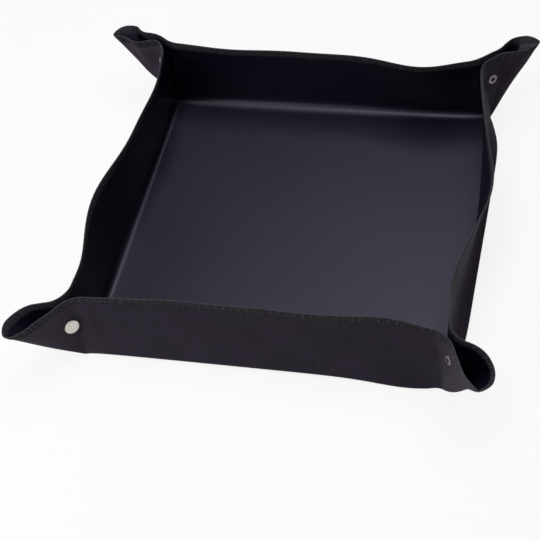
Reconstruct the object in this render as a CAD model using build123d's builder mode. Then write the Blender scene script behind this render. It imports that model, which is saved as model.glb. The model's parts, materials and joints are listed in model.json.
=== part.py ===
"""Fold-up potting soil tray: one square of coated cloth, creased into a floor and four walls.

Each corner of the cloth is pinched into a hollow ear by a snap fastener.
The cloth is divided at its folds, so that the walls can be let down and the ears open with them.
Millimetres, +Z up, origin on the underside of the floor at its centre, front towards -Y.
"""
import os
from math import acos, asin, cos, exp, hypot, pi, radians, sin, sqrt, tan

from build123d import *

# Cloth sheet
floor_side = 350.0
wall_height = 75.0
cloth = 1.0
corner_round = 22.0
lip_round_share = 0.85
crease_gap = 0.3

# Walls in turn: front, right, back, left
wall_names = ["front", "right", "back", "left"]
wall_stations = 13

# Waves of each wall's rim: outward lean, place along the crease, reach and flatness
wall_waves = [
    [(-17.5, 0.0, 145.0, 6), (-4.0, 130.0, 30.0, 2)],
    [(24.0, 10.0, 80.0, 2)],
    [(6.0, 40.0, 90.0, 2), (-10.0, -110.0, 45.0, 2)],
    [(16.0, 40.0, 60.0, 2), (-6.0, -120.0, 45.0, 2)],
]
wave_end_power = 12

# Ears in turn: front right, back right, back left, front left
post_lean = [(7.0, 11.0), (-7.0, 4.0), (-3.0, 12.0), (-4.0, 12.0)]
lean_spread = 50.0
mouth_half_width = [15.0, 10.0, 7.0, 17.0]
ear_gap = 4.0
gusset_angle = 22.0
ear_start = 14.0

# Snap fasteners; their places at the ears in the same turn
snap_reach = [9.7, 9.7, 9.7, 8.0]
snap_height = [48.0, 48.0, 48.0, 43.0]
cap_diameter = 15.0
cap_rise = 1.9
cap_edge = 0.9
stem_diameter = 4.2
stem_flare_diameter = 5.2
stem_flare_height = 0.25
socket_diameter = 12.4
socket_height = 1.6
socket_bore = 5.8
socket_flange = 0.4
stud_base_diameter = 11.6
stud_base_height = 1.4
stud_diameter = 5.2
stud_length = 1.6
stud_roof = 0.5
ring_diameter = 10.6
ring_rise = 0.8
ring_bore = 3.0
ring_edge = 0.3
barrel_diameter = 4.0
rivet_clearance = 0.15

# Sizes that follow from these
hinge_height = cloth / 2
panel_offset = (ear_gap + cloth) / 2
inner_face = ear_gap / 2
outer_face = inner_face + cloth
lip_overhang = panel_offset - crease_gap / 2
hole_diameter = max(stem_diameter, barrel_diameter) + 2 * rivet_clearance
up = Vector(0, 0, 1)


def turned(x, y, z, wall):
    """A point or direction given at the front wall, turned to another wall."""
    return Vector(x, y, z).rotate(Axis.Z, 90 * wall)


def setback(turn):
    """How far a panel stops short of a fold line that bends by this turn (radians)."""
    return (cloth / 2 * sin(turn / 2) + crease_gap / 2) / cos(turn / 2)


def bend(first, second, third):
    """The turn (radians) at the middle one of three fold lines that fan out from one point."""
    return radians(first.cross(second).get_angle(second.cross(third)))


def floor_corner(wall, side):
    """The corner of the floor at an end of a wall."""
    return turned(side * floor_side / 2, -floor_side / 2, hinge_height, wall)


def post_offset(wall, side):
    """How far the top of the post at an end of a wall leans in plan."""
    return Vector(*post_lean[wall if side > 0 else wall - 1], 0)


def ear_axes(wall, side):
    """The leaning post, the way the ear points, square to it, and the way out of the ear's mirror
    plane on this wall's side."""
    post = (post_offset(wall, side) + up * wall_height).normalized()
    outward = turned(side, -1, 0, wall).cross(post).normalized() * side
    return post, post.cross(outward) * side, outward


def sheet_angles(wall, side):
    """Angles in the flat sheet from the post to the gusset line, the flare line and the bottom fold.

    The sheet fills a full turn around a floor corner. The floor takes a quarter of it, the two walls
    take what their leaning post gives them, and the two half ears share the rest.
    """
    post, _, _ = ear_axes(wall, side)
    walls = turned(-side, 0, 0, wall).get_angle(post) + turned(0, 1, 0, wall).get_angle(post)
    half_ear = (270 - walls) / 2
    return radians(gusset_angle), radians((gusset_angle + half_ear) / 2), radians(half_ear)


def ear_folds(wall, side):
    """The fold lines of a half ear: wall crease, post, gusset line, flare line and bottom fold."""
    post, along, outward = ear_axes(wall, side)
    gusset, flare_angle, half_ear = sheet_angles(wall, side)
    mouth = mouth_half_width[wall if side > 0 else wall - 1]
    bulge = asin((mouth - panel_offset) * cos(flare_angle) / wall_height)
    flare = gusset + acos(cos(flare_angle - gusset) / cos(bulge))
    bottom = flare + acos(cos(half_ear - flare_angle) / cos(bulge))
    crease_line = turned(-side, 0, 0, wall)
    gusset_line = post * cos(gusset) + along * sin(gusset)
    flare_line = (post * cos(flare) + along * sin(flare)) * cos(bulge) + outward * sin(bulge)
    bottom_line = post * cos(bottom) + along * sin(bottom)
    return crease_line, post, gusset_line, flare_line, bottom_line


def post_foot(wall, side):
    """Where the post at the end of a wall meets the wall's crease; the ear's folds fan out from it."""
    crease_line = turned(-side, 0, 0, wall)
    _, _, outward = ear_axes(wall, side)
    return floor_corner(wall, side) + crease_line * (panel_offset / outward.dot(crease_line))


def snap_plane(wall, side):
    """The mirror plane of the ear at the snap's axis, facing out on this wall's side."""
    post, along, outward = ear_axes(wall, side)
    ear = wall if side > 0 else wall - 1
    reach = snap_reach[ear] - panel_offset
    centre = floor_corner(wall, side) + along * reach + post * snap_height[ear]
    return Plane(origin=centre, x_dir=post, z_dir=outward)


def sector_plane(wall, side, near_line, far_line):
    """The plane of an ear panel, with its origin at the post's foot and X along its near fold."""
    return Plane(origin=post_foot(wall, side), x_dir=near_line, z_dir=near_line.cross(far_line))


def sector_corners(near_angle, far_angle, near_setback, far_setback):
    """Corners of an ear panel between two folds of the flat sheet, set back from both folds.

    The angles are counted from the post. The rim is the sheet's straight edge.
    """
    span = far_angle - near_angle
    near_tip = Vector(wall_height / cos(near_angle), 0)
    far_fold = Vector(cos(span), sin(span))
    inward = Vector(sin(span), -cos(span))
    far_tip = far_fold * (wall_height / cos(far_angle))
    rim = far_tip - near_tip
    near_rim = near_tip + rim * (near_setback / rim.Y)
    far_rim = far_tip + rim * (far_setback / rim.dot(inward))
    far_start = far_fold * ear_start + inward * far_setback
    return Vector(ear_start, near_setback), near_rim, far_rim, far_start


def lip_round(near_angle, half_ear):
    """The rounded corner of the sheet on a lip panel: its start on the rim, middle and end.

    A narrow lip has a smaller round, which leaves a part of its rim straight.
    """
    rim = wall_height * (tan(half_ear) - tan(near_angle))
    radius = min(corner_round, rim * lip_round_share / tan(half_ear))
    span = half_ear - near_angle
    diagonal = Vector(cos(span), sin(span))
    inward = Vector(sin(span), -cos(span))
    near_tip = Vector(wall_height / cos(near_angle), 0)
    sharp_tip = diagonal * (wall_height / cos(half_ear))
    start = sharp_tip + (near_tip - sharp_tip).normalized() * (radius * tan(half_ear))
    centre = diagonal * ((wall_height - radius) / cos(half_ear))
    end = centre + diagonal * sqrt(radius**2 - lip_overhang**2) - inward * lip_overhang
    middle = centre + (start + end - centre * 2).normalized() * radius
    return start, middle, end


def wall_lean(wall, place):
    """How far the rim leans along its wall and outward, at a place along the crease.

    Its own waves are outward only. The lean of each post is felt less with the distance from it.
    """
    ends = 1 - abs(2 * place / floor_side) ** wave_end_power
    lean = Vector(0, 0, 0)
    for height, middle, reach, power in wall_waves[wall]:
        lean += Vector(0, -height, 0) * (ends * exp(-(abs((place - middle) / reach) ** power)))
    for side in (-1, 1):
        distance = floor_side / 2 - side * place
        felt = exp(-((distance / lean_spread) ** 2))
        lean += post_offset(wall, side).rotate(Axis.Z, -90 * wall) * felt
    return lean.X, -lean.Y


def save(part, name):
    """Label a finished piece and write its file."""
    part.label = name
    export_step(part, f"parts/{name}.step")


def make_floor():
    """The flat middle of the sheet, inside the four creases."""
    side = floor_side - 2 * setback(pi / 2)
    with BuildPart() as floor_panel:
        with BuildSketch():
            Rectangle(side, side)
        extrude(amount=cloth)
    save(floor_panel.part, "floor_panel")


def wall_end(wall, side):
    """How far along its crease a wall panel reaches towards one of its posts."""
    crease_line, post, gusset_line, _, _ = ear_folds(wall, side)
    end = post_foot(wall, side) + crease_line * setback(bend(crease_line, post, gusset_line))
    return end.rotate(Axis.Z, -90 * wall).X


def make_wall(wall):
    """One wall between its two leaning posts, with a straight crease and a bowed rim."""
    left_end, right_end = (wall_end(wall, side) for side in (-1, 1))
    foot = setback(pi / 2)
    outward = turned(0, -1, 0, wall)
    with BuildPart() as wall_panel:
        for station in range(wall_stations):
            place = left_end + (right_end - left_end) * station / (wall_stations - 1)
            along_lean, lean = wall_lean(wall, place)
            rise = sqrt(wall_height**2 - lean**2 - along_lean**2)
            length = hypot(rise, along_lean)
            slant = turned(along_lean, 0, rise, wall).normalized()
            origin = turned(place, -floor_side / 2, hinge_height, wall)
            foot_lean = lean * foot / length
            with BuildSketch(Plane(origin=origin, x_dir=outward, z_dir=outward.cross(slant))):
                Polygon(
                    (foot_lean - cloth / 2, foot),
                    (foot_lean + cloth / 2, foot),
                    (lean + cloth / 2, length),
                    (lean - cloth / 2, length),
                    align=None,
                )
        loft()
    save(wall_panel.part, f"{wall_names[wall]}_wall")


def make_gusset(wall, side, end):
    """The pinched panel next to the post, with the hole for its half of the snap."""
    crease_line, post, gusset_line, flare_line, _ = ear_folds(wall, side)
    post_turn = bend(crease_line, post, gusset_line)
    gusset_turn = bend(post, gusset_line, flare_line)
    panel = sector_plane(wall, side, post, gusset_line)
    hole = panel.to_local_coords(snap_plane(wall, side).origin)
    with BuildPart() as gusset:
        with BuildSketch(panel):
            with BuildLine():
                corners = sector_corners(
                    0, radians(gusset_angle), setback(post_turn), setback(gusset_turn)
                )
                Polyline(*corners, close=True)
            make_face()
            with Locations((hole.X, hole.Y)):
                Circle(hole_diameter / 2, mode=Mode.SUBTRACT)
        extrude(amount=cloth / 2, both=True)
    save(gusset.part, f"{wall_names[wall]}_{end}_gusset")


def make_flare(wall, side, end):
    """The panel that swings out from the pinched gusset and opens the ear's mouth."""
    _, post, gusset_line, flare_line, bottom_line = ear_folds(wall, side)
    near_angle, far_angle, _ = sheet_angles(wall, side)
    gusset_turn = bend(post, gusset_line, flare_line)
    flare_turn = bend(gusset_line, flare_line, bottom_line)
    with BuildPart() as flare:
        with BuildSketch(sector_plane(wall, side, gusset_line, flare_line)):
            with BuildLine():
                corners = sector_corners(
                    near_angle, far_angle, setback(gusset_turn), setback(flare_turn)
                )
                Polyline(*corners, close=True)
            make_face()
        extrude(amount=cloth / 2, both=True)
    save(flare.part, f"{wall_names[wall]}_{end}_flare")


def make_lip(wall, side, end):
    """The panel that comes back to the ear's bottom fold, with half of the sheet's round corner."""
    _, _, gusset_line, flare_line, bottom_line = ear_folds(wall, side)
    _, near_angle, half_ear = sheet_angles(wall, side)
    flare_turn = bend(gusset_line, flare_line, bottom_line)
    with BuildPart() as lip:
        with BuildSketch(sector_plane(wall, side, flare_line, bottom_line)):
            with BuildLine():
                near_start, near_rim, _, far_start = sector_corners(
                    near_angle, half_ear, setback(flare_turn), -lip_overhang
                )
                round_start, round_middle, round_end = lip_round(near_angle, half_ear)
                Polyline(far_start, near_start, near_rim, round_start)
                ThreePointArc(round_start, round_middle, round_end)
                Line(round_end, far_start)
            make_face()
        extrude(amount=cloth / 2, both=True)
    save(lip.part, f"{wall_names[wall]}_{end}_lip")


def make_cap(wall, side):
    """The snap's outer cap, with a stem that is flared inside the socket."""
    plane = snap_plane(wall, side)
    stem_length = cloth + socket_flange
    with BuildPart() as cap:
        with BuildSketch(plane.offset(outer_face)):
            Circle(cap_diameter / 2)
        extrude(amount=cap_rise)
        top = cap.faces().sort_by(Axis(plane.origin, plane.z_dir))[-1]
        fillet(top.edges(), cap_edge)
        with BuildSketch(plane.offset(outer_face)):
            Circle(stem_diameter / 2)
        extrude(amount=-stem_length)
        with BuildSketch(plane.offset(outer_face - stem_length)):
            Circle(stem_flare_diameter / 2)
        extrude(amount=-stem_flare_height)
    save(cap.part, f"{wall_names[wall]}_snap_cap")


def make_socket(wall, side):
    """The snap's female half, clamped against the inside of the cloth by the cap's stem."""
    plane = snap_plane(wall, side)
    with BuildPart() as socket:
        with BuildSketch(plane.offset(inner_face)):
            Circle(socket_diameter / 2)
            Circle(stem_diameter / 2 + rivet_clearance, mode=Mode.SUBTRACT)
        extrude(amount=-socket_height)
        with BuildSketch(plane.offset(inner_face - socket_flange)):
            Circle(socket_bore / 2)
        extrude(amount=socket_flange - socket_height, mode=Mode.SUBTRACT)
    save(socket.part, f"{wall_names[wall]}_snap_socket")


def make_ring(wall, side):
    """The eyelet on the outside of the cloth, whose barrel holds the stud."""
    plane = snap_plane(wall, side)
    with BuildPart() as ring:
        with BuildSketch(plane.offset(outer_face)):
            Circle(ring_diameter / 2)
        extrude(amount=ring_rise)
        top = ring.faces().sort_by(Axis(plane.origin, plane.z_dir))[-1]
        fillet(top.edges(), ring_edge)
        with BuildSketch(plane.offset(outer_face)):
            Circle(barrel_diameter / 2)
        extrude(amount=-(cloth + stud_base_height))
        with BuildSketch(plane.offset(outer_face + ring_rise)):
            Circle(ring_bore / 2)
        extrude(amount=-(ring_rise + cloth + stud_base_height), mode=Mode.SUBTRACT)
    save(ring.part, f"{wall_names[wall]}_snap_ring")


def make_stud(wall, side):
    """The snap's male half, which reaches through the mirror plane into the facing socket."""
    plane = snap_plane(wall, side)
    with BuildPart() as stud:
        with BuildSketch(plane.offset(inner_face)):
            Circle(stud_base_diameter / 2)
        extrude(amount=-stud_base_height)
        with BuildSketch(plane.offset(inner_face - stud_base_height)):
            Circle(stud_diameter / 2)
        extrude(amount=-stud_length)
        with BuildSketch(plane.offset(inner_face)):
            Circle(barrel_diameter / 2 + rivet_clearance)
        extrude(amount=stud_roof - stud_base_height - stud_length, mode=Mode.SUBTRACT)
    save(stud.part, f"{wall_names[wall]}_snap_stud")


os.makedirs("parts", exist_ok=True)
make_floor()
for wall_number in range(len(wall_names)):
    make_wall(wall_number)
    for end_side, end_name in ((-1, "cap"), (1, "ring")):
        make_gusset(wall_number, end_side, end_name)
        make_flare(wall_number, end_side, end_name)
        make_lip(wall_number, end_side, end_name)
    make_cap(wall_number, -1)
    make_socket(wall_number, -1)
    make_ring(wall_number, 1)
    make_stud(wall_number, 1)
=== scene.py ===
"""Dress the fold-up potting soil tray: coated cloth, overlocked rim, pinched ears and snap fasteners.

Metres, +Z up, origin under the middle of the floor, front towards -Y.
The cloth is one flat square sheet. Its flat coordinates are its UV map, so the weave runs on over the folds.
"""
import json
from functools import partial, partialmethod
from math import cos, pi, radians, sin, sqrt, tan

import bpy
import numpy as np
from bpy.props import FloatProperty, FloatVectorProperty, PointerProperty
from bpy.types import Operator, Panel, PropertyGroup
from mathutils import Matrix, Vector


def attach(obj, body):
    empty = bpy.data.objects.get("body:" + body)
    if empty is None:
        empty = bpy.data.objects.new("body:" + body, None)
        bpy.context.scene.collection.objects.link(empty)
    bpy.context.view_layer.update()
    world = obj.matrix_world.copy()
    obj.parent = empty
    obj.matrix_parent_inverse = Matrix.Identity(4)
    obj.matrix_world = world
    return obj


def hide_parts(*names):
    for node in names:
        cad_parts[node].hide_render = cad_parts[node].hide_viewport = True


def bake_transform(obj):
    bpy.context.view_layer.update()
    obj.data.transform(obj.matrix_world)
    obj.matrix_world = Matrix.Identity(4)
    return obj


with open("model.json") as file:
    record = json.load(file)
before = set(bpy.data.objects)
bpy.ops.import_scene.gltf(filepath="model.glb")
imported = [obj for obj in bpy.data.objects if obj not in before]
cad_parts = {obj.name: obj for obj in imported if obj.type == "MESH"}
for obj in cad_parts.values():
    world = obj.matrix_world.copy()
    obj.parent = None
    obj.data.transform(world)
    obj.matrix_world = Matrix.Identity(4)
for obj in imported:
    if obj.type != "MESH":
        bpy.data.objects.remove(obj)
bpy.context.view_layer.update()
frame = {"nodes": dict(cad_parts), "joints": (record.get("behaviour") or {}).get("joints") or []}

bl_info = {
    "name": "Potting Soil Tray",
    "version": (1, 0, 0),
    "blender": (4, 5, 0),
    "location": "View3D > Sidebar > Tray",
    "description": "Makes the cloth, the rim thread and the snap fasteners of a fold-up potting soil tray",
    "category": "Add Mesh",
}

JOINTS = {joint["name"]: joint for joint in frame["joints"]}
CREASE_PLACE = JOINTS["front_crease"]["pos_m"]
MILLIMETRE = 0.001

# Walls in turn, and the two ends of each: the cap end is on the left, seen from outside
WALLS = ("front", "right", "back", "left")
ENDS = {"cap": -1, "ring": 1}
HALF_EARS = [(wall, end, side) for wall in WALLS for end, side in ENDS.items()]

# An ear flap is described by its angle in the flat sheet, counted from the post
WALL_EDGE_ANGLE = radians(-25)
BEND_ANGLE = radians(-12)
GUSSET_ANGLE = radians(11)
FLARE_ANGLE = radians(27.75)
DIAGONAL_ANGLE = radians(45)

# Pieces of a half ear: first angle, last angle, columns, and the solid that each stands for
FLAP_PIECES = {
    "post": (WALL_EDGE_ANGLE, GUSSET_ANGLE, 44, "gusset"),
    "gusset": (GUSSET_ANGLE, FLARE_ANGLE, 24, "flare"),
    "lip": (FLARE_ANGLE, DIAGONAL_ANGLE, 34, "lip"),
}

# Headings in degrees along each flap: 0 runs beside the ear's mirror plane, 90 straight away from it.
# The first two are the same for every flap, and each wall in turn has five more.
HEADING_ANGLES = np.radians((-12, 3, 12, 20, 28, 36, 45))
FIRST_HEADINGS = (-45, 0)
RING_HEADINGS = (
    (20, 5, -5, -25, -30),
    (-10, 20, 10, -15, -50),
    (15, 10, 40, -50, -45),
    (40, 35, -10, -50, -75),
)
CAP_HEADINGS = (
    (10, 0, 15, -10, -90),
    (50, 40, 10, -90, -100),
    (10, 45, 35, -60, -60),
    (30, 0, -25, 10, -80),
)

# Steps of a flap's curve from the bend on and up to the bend, and the spare angle before the wall's edge
CURVE_STEPS, WALL_CURVE_STEPS, WALL_EDGE_SPARE = 600, 60, 0.02

# Sheet angle at which an ear starts to sag, and the share of the sag's length by which it ends early
SAG_START = radians(18)
SAG_EASE = 0.05

# Waves of each wall's rim in millimetres: outward lean, place along the crease, reach and flatness
WALL_WAVES = (
    ((-17.5, 0, 145, 6), (-4, 130, 30, 2)),
    ((24, 10, 80, 2),),
    ((6, 40, 90, 2), (-10, -110, 45, 2)),
    ((16, 40, 60, 2), (-6, -120, 45, 2)),
)
WAVE_END_POWER = 12

# Bulge of each wall's foot beyond its straight crease, in the same four numbers. Then how far it rises for
# its width, the power by which it fades, and the length over which it comes to rest at the floor's corners
BASE_WAVES = (((6, 145, 45, 2),), ((24, 0, 165, 8),), (), ())
BASE_LIFT = 0.05
BASE_FADE_POWER = 10
CORNER_CALM = 0.015

# Ripples of slack cloth: share of the height, turn for each metre along and up, and shift from wall to wall
RIPPLES = ((1.0, 38, 0, 1), (0.7, 71, -34, 2), (0.4, 23, 90, 0))
RIPPLE_SHIFT = 1.7
RIPPLE_CALM = 0.07

# Rows of the cloth: the first above a crease, the bands at crease and rim, and the rows of each stretch
FIRST_ROW = 0.0004
CREASE_BAND, RIM_BAND = 0.012, 0.009
MARGIN_ROWS, CREASE_ROWS, MIDDLE_ROWS, RIM_ROWS = 12, 12, 18, 8

# Columns of a wall and how far they crowd to its ends, lines of the floor, steps over the rolled rim, and how
# near to a grid's ends a line is added
WALL_COLUMNS, END_CROWDING = 141, 0.8
FLOOR_LINES = 61
ROLL_STEPS = 5
HOLD_SHARE = 0.02

# Small steps that give a surface its directions, in metres and in radians or shares, and the least divisors
LENGTH_STEP, SHARE_STEP = 1e-5, 1e-4
LEAST_SPARE, TINY = 1e-6, 1e-12

# Kinds of a shell's faces, and steps along a flap for its area and for its stitches
OUTSIDE, INSIDE, EDGE = 0, 1, 2
AREA_STEPS, RIM_STEPS = 200, 400

# Noises of the materials: cells for each metre, detail, and the values that become 0 and 1
NOISES = {
    "rim_fuzz": (620.0, 4.0, 0.36, 0.70),
    "coating_cloud": (7.0, 3.0, 0.33, 0.67),
    "coating_grain": (1500.0, 3.0, 0.0, 1.0),
    "weave_cast": (16.0, 3.0, 0.40, 0.60),
    "weave_cloud": (34.0, 3.0, 0.32, 0.68),
    "lint": (900.0, 3.0, 0.0, 1.0),
    "edge_fuzz": (700.0, 3.0, 0.0, 1.0),
    "thread_speck": (420.0, 3.0, 0.40, 0.72),
    "metal_cloud": (260.0, 2.0, 0.35, 0.65),
    "scuff": (2400.0, 4.0, 0.0, 1.0),
}

# Weave: a rib of the twill, a yarn, a stripe of the herringbone, and a shift that keeps the sheet above 0
RIB_WIDTH, YARN_WIDTH, STRIPE_WIDTH, SHEET_SHIFT = 0.0026, 0.0011, 0.0034, 1.0

# Casts of the weave, as factors of its red, green and blue
BLUE_CAST, PURPLE_CAST = (0.78, 1.15, 1.02), (1.15, 0.88, 1.0)

# Fading of the overlocked band and of the painted light at an ear, and of that light into painted shade at
# the back right
BAND_BEFORE, BAND_AFTER = 0.0015, 0.0005
EAR_LIGHT_BEFORE, EAR_LIGHT_AFTER = 0.02, 0.015
EAR_SHADE_FULL, EAR_SHADE_NONE = 0.42, 0.15

# One overlock stitch: which face it lies on, depth below the rim and slant, as shares of the depth and pitch
STITCH_FACE = np.array((1, 1, 1, 0.75, 0, -0.75, -1, -1, -1))
STITCH_DEPTH = np.array((1.0, 0.6, 0.25, 0.03, 0, 0.03, 0.25, 0.6, 1.0))
STITCH_SLANT = np.array((0, 0.18, 0.34, 0.44, 0.48, 0.52, 0.60, 0.72, 0.85))
TUBE_SIDES, TUBE_TAPER = 4, 0.35

# Unevenness of the stitches: mean values, and size and turn of the sines that are added
MEAN_DEPTH, MEAN_LIFT = 0.9, 0.6
SLANT_WOBBLE, LIFT_WOBBLE = (0.3, 4.7), (0.3, 3.1)
DEPTH_WOBBLE, DEPTH_DRIFT = (0.18, 2.3), (1.1, 0.7)

# Where the overlock seam runs over its own start, on the front wall
SEAM_PLACE, SEAM_REACH, SEAM_LIFT = 0.010, 0.006, 0.0009

# Turned metal: steps of a turn, and the share of the radius that is left open at a pole
LATHE_STEPS, POLE_SHARE = 56, 0.002

# Cap: the dome's shares of the radius and its fall, the groove's shares and depths, the bead's radius, drop
# and arc as first angle, last angle and steps, and the underside's insets and heights
CAP_DOME, CAP_FALL = np.linspace(POLE_SHARE, 0.80, 9), 0.00022
CAP_GROOVE = ((0.83, 0.00030), (0.86, 0.00028))
CAP_BEAD, CAP_DROP, CAP_BEAD_ARC = 0.00055, 0.00012, (105, -20, 9)
CAP_UNDER = ((0.0001, 0.0004), (0.0004, 0.0))

# Ring: its wall, its depth in the cloth, the rolled lip as a share of its rise, the flange's edge, the arcs
# of both, and the inset of its underside
RING_WALL, RING_DEPTH, RING_ROLL_SHARE, RING_EDGE = 0.0003, 0.0008, 0.55, 0.00035
RING_LIP_ARC, RING_EDGE_ARC, RING_INSET = (180, 60, 8), (70, -60, 6), 0.0006

# Soft panels of light: place, target, size and power
LAMPS = {
    "back_panel": ((0.25, 0.78, 2.30), (0.0, 0.0, 0.0), (2.1, 1.4), 32.0),
    "top_light": ((-0.25, -0.45, 1.9), (-0.05, 0.05, 0.0), (0.7, 1.0), 13.0),
    "front_light": ((-0.60, -0.70, 0.58), (-0.08, 0.0, 0.0), (0.5, 0.4), 3.0),
}
WORLD_STRENGTH = 0.07

# Camera's sensor in millimetres. Pale floor: grid, open share, distance below 0, colour and share of white
SENSOR_WIDTH = 36.0
FLOOR_RINGS, FLOOR_SPOKES, FLOOR_HOLE, FLOOR_DROP = 41, 97, 0.001, 0.0003
FLOOR_GREY, WHITE_SHARE = 0.82, 0.85


def length_of(name, description, default):
    """A property that is a length."""
    return FloatProperty(name=name, description=description, default=default, unit="LENGTH")


def angle_of(name, description, degrees):
    """A property that is an angle."""
    return FloatProperty(name=name, description=description, default=radians(degrees), unit="ROTATION")


def lengths_of(name, description, *default):
    """A property with several lengths."""
    return FloatVectorProperty(
        name=name, description=description, size=len(default), default=default, unit="LENGTH")


def angles_of(name, description, *degrees):
    """A property with several angles."""
    return FloatVectorProperty(
        name=name, description=description, size=len(degrees), default=[radians(part) for part in degrees],
        unit="ROTATION")


def colour_of(name, description, *default):
    """A property that is a colour."""
    return FloatVectorProperty(name=name, description=description, size=3, default=default, subtype="COLOR")


class TrayCloth(PropertyGroup):
    """Sizes of the cloth sheet and of its folds, and its colours. Ears count from front right in turn."""
    floor_side: length_of(
        "Floor side", "Distance between two creases that face each other", -2 * CREASE_PLACE[1])
    wall_height: length_of("Wall height", "Cloth from a crease to the rim", 0.075)
    thickness: length_of("Thickness", "Thickness of the coated cloth", 0.001)
    corner_round: length_of("Corner round", "Radius of the sheet's corners", 0.022)
    crease_reach: lengths_of(
        "Crease reach", "How far each wall's crease is rounded to both sides", 0.006, 0.013, 0.014, 0.007)
    floor_margin: length_of("Floor margin", "Strip of floor made with each wall", 0.016)
    wave_strength: FloatProperty(
        name="Wave strength", description="How strongly the walls' rims wave", default=1.0)
    post_lean_x: lengths_of(
        "Post lean X", "Sideways lean of each ear's post at the rim", 0.007, -0.007, -0.003, -0.004)
    post_lean_y: lengths_of(
        "Post lean Y", "Backward lean of each ear's post at the rim", 0.011, 0.004, 0.012, 0.012)
    lean_spread: length_of("Lean spread", "How far a post's lean is felt along the walls", 0.050)
    tip_angle: angles_of("Tip angle", "Angle of each ear's bottom fold from its post", 43, 42, 47, 45)
    ear_twist: angles_of("Ear twist", "How far each ear's tip is turned sideways", -13, -12, 25, -4)
    twist_start: lengths_of(
        "Twist start", "Where each ear starts to turn, out from its post", 0.014, 0.004, 0.0, 0.014)
    twist_length: lengths_of(
        "Twist length", "Length of each ear over which it turns", 0.050, 0.045, 0.035, 0.050)
    ear_sag: FloatVectorProperty(
        name="Ear sag", description="How far each ear's bottom fold sinks to the table near its corner",
        size=4, default=(0.5, 0.2, 0.4, 0.0))
    sag_length: length_of("Sag length", "Length of a bottom fold over which it rises again", 0.065)
    ripple: length_of("Ripple", "Height of the slack cloth's gentle waves", 0.0005)
    inside_colour: colour_of("Inside", "Smooth coating", 0.0030, 0.0016, 0.0075)
    coating_tint: colour_of("Coating sheen", "Tint of the coating's reflections", 0.76, 0.79, 1.0)
    outside_colour: colour_of("Outside", "Woven side", 0.021, 0.0155, 0.027)
    # Painted light: this paler colour on the ears' rib tops stands in for light falling on them
    worn_colour: colour_of("Worn", "Weave rubbed pale at the pinched ears", 0.080, 0.061, 0.090)
    thread_pitch: length_of("Stitch pitch", "Distance between two overlock stitches", 0.0019)
    thread_depth: length_of("Stitch depth", "How far the overlock reaches below the rim", 0.0065)
    thread_radius: length_of("Thread radius", "Radius of the overlock thread", 0.00022)
    thread_colour: colour_of("Thread", "Overlock thread", 0.030, 0.026, 0.036)


class TraySnaps(PropertyGroup):
    """Sizes and colours of the snap fasteners. Ears count from front right in turn."""
    reach: lengths_of("Reach", "From each ear's post to its snap", 0.0072, 0.0072, 0.0072, 0.0055)
    height: lengths_of(
        "Height", "From the floor to each ear's snap, along its post", 0.048, 0.048, 0.048, 0.043)
    offset: length_of("Cloth offset", "From the ear's mirror plane to the middle of its cloth", 0.0025)
    pressed_radius: length_of("Pressed radius", "Cloth held flat around a snap", 0.009)
    release: length_of("Release", "Width over which the cloth leaves that flat", 0.0095)
    cap_diameter: length_of("Cap", "Diameter of the cap", 0.015)
    cap_rise: length_of("Cap rise", "Height of the cap", 0.0019)
    ring_diameter: length_of("Ring", "Diameter of the ring", 0.0106)
    ring_bore: length_of("Ring bore", "Hole in the ring", 0.0042)
    ring_rise: length_of("Ring rise", "Height of the ring", 0.0009)
    cap_colour: colour_of("Cap metal", "Satin plating of the caps", 0.62, 0.57, 0.53)
    ring_colour: colour_of("Ring metal", "Dark nickel of the rings", 0.17, 0.15, 0.16)
    inner_colour: colour_of("Inner metal", "Black nickel of the sockets and studs", 0.014, 0.012, 0.014)


class TrayStage(PropertyGroup):
    """Camera, floor and light."""
    azimuth: angle_of("Azimuth", "Camera's turn from the front", 23.296)
    elevation: angle_of("Elevation", "Camera's height angle", 50.16)
    roll: angle_of("Roll", "Camera's roll", -13.68)
    distance: length_of("Distance", "Camera to its target", 1.4235)
    target: lengths_of("Target", "Point in the middle of the picture", -0.01631, -0.05383, 0.0)
    lens: FloatProperty(name="Lens", description="Focal length in millimetres", default=94.876)
    floor_radius: length_of("Floor", "Radius of the pale floor with its sweep", 12.0)
    sweep_height: length_of("Sweep", "Height of the floor's swept rim", 3.5)


def smooth(share):
    """Rise from 0 to 1 with level ends: three times the square less two times the cube."""
    share = np.clip(share, 0, 1)
    return share * share * (3 - 2 * share)


def turned(points, wall):
    """Points given at the front wall, turned about the vertical by a quarter turn for each wall."""
    angle = pi / 2 * WALLS.index(wall)
    turn = np.array(((cos(angle), -sin(angle), 0), (sin(angle), cos(angle), 0), (0, 0, 1)))
    return points @ turn.T


def as_world(vector, wall):
    """A direction or point at the front wall as a world vector at another wall."""
    return Vector(turned(np.array(vector, dtype=float), wall))


def ear_number(wall, side):
    """Which ear is at an end of a wall, counted from the front right one."""
    return (WALLS.index(wall) + (0 if side > 0 else -1)) % 4


def corner_lean(cloth, wall, side):
    """A post's lean as (along, outward) at a wall that ends at it: its plan direction turned to that wall."""
    corner = ear_number(wall, side)
    lean_x, lean_y = cloth.post_lean_x[corner], cloth.post_lean_y[corner]
    angle = pi / 2 * WALLS.index(wall)
    return cos(angle) * lean_x + sin(angle) * lean_y, sin(angle) * lean_x - cos(angle) * lean_y


def waved(cloth, waves, u):
    """Outward lean along a wall: a sum of waves, each falling off as an exponential of a power of the
    distance from its middle, and all of them still at the wall's ends."""
    lean = np.zeros_like(u)
    for height, middle, reach, power in waves:
        lean = lean + height * MILLIMETRE * np.exp(-((u / MILLIMETRE - middle) / reach) ** power)
    ends = 1 - np.clip(2 * u / cloth.floor_side, -1, 1) ** WAVE_END_POWER
    return cloth.wave_strength * lean * ends


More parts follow.
